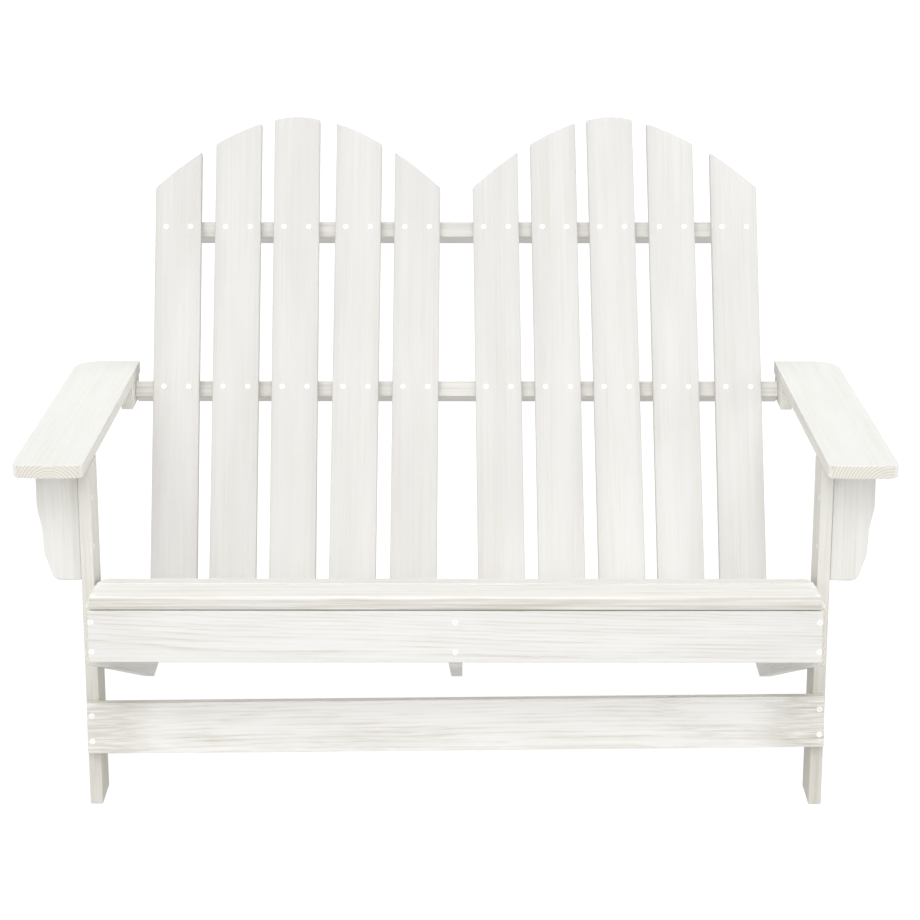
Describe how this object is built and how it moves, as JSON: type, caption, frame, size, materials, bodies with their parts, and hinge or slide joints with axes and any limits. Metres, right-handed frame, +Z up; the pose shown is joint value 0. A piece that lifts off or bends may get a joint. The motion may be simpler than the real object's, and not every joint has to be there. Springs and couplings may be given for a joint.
{
  "type": "garden bench",
  "caption": "Slatted wooden garden bench with a reclined back of arched fans, a sloping seat, broad flat arms on curved brackets and a low front rail.",
  "frame": {"origin": "on the floor, under the middle of the bench's bounding box", "axes": "+X to the right of a viewer in front of the bench, +Y to the back, +Z up; the seat faces -Y"},
  "size_m": [1.2428, 0.9056, 0.8874],
  "materials": {
    "washed_fir": "thin matte white wash over planed softwood",
    "painted_screw": "white painted countersunk head",
    "raw_beech": "bare turned dowel"
  },
  "bodies": {
    "root": {"back_slat_left_1": "washed_fir", "back_slat_left_2": "washed_fir", "back_slat_left_3": "washed_fir", "back_slat_left_4": "washed_fir", "back_slat_left_5": "washed_fir", "back_slat_right_1": "washed_fir", "back_slat_right_2": "washed_fir", "back_slat_right_3": "washed_fir", "back_slat_right_4": "washed_fir", "back_slat_right_5": "washed_fir", "seat_slat_1": "washed_fir", "seat_slat_2": "washed_fir", "seat_slat_3": "washed_fir", "seat_slat_4": "washed_fir", "seat_slat_5": "washed_fir", "seat_slat_6": "washed_fir", "seat_slat_7": "washed_fir", "front_apron": "washed_fir", "lower_front_rail": "washed_fir", "left_stringer": "washed_fir", "centre_stringer": "washed_fir", "right_stringer": "washed_fir", "left_leg": "washed_fir", "right_leg": "washed_fir", "left_arm": "washed_fir", "right_arm": "washed_fir", "left_bracket": "washed_fir", "right_bracket": "washed_fir", "left_arm_cleat": "washed_fir", "right_arm_cleat": "washed_fir", "upper_back_batten": "washed_fir", "arm_level_batten": "washed_fir", "bottom_back_batten": "washed_fir", "left_leg_screw_1": "painted_screw", "left_leg_screw_2": "painted_screw", "left_leg_screw_3": "painted_screw", "left_leg_screw_4": "painted_screw", "right_leg_screw_1": "painted_screw", "right_leg_screw_2": "painted_screw", "right_leg_screw_3": "painted_screw", "right_leg_screw_4": "painted_screw", "lower_rail_screw_1": "painted_screw", "lower_rail_screw_2": "painted_screw", "lower_rail_screw_3": "painted_screw", "lower_rail_screw_4": "painted_screw", "left_cleat_screw_1": "painted_screw", "left_cleat_screw_2": "painted_screw", "right_cleat_screw_1": "painted_screw", "right_cleat_screw_2": "painted_screw", "left_batten_end_screw_1": "painted_screw", "right_batten_end_screw_1": "painted_screw", "bottom_batten_screw_1": "painted_screw", "bottom_batten_screw_2": "painted_screw", "bottom_batten_screw_3": "painted_screw", "arm_dowel_1": "raw_beech", "arm_dowel_2": "raw_beech", "arm_dowel_3": "raw_beech", "arm_dowel_4": "raw_beech", "arm_dowel_5": "raw_beech", "arm_dowel_6": "raw_beech"}
  },
  "joints": []
}
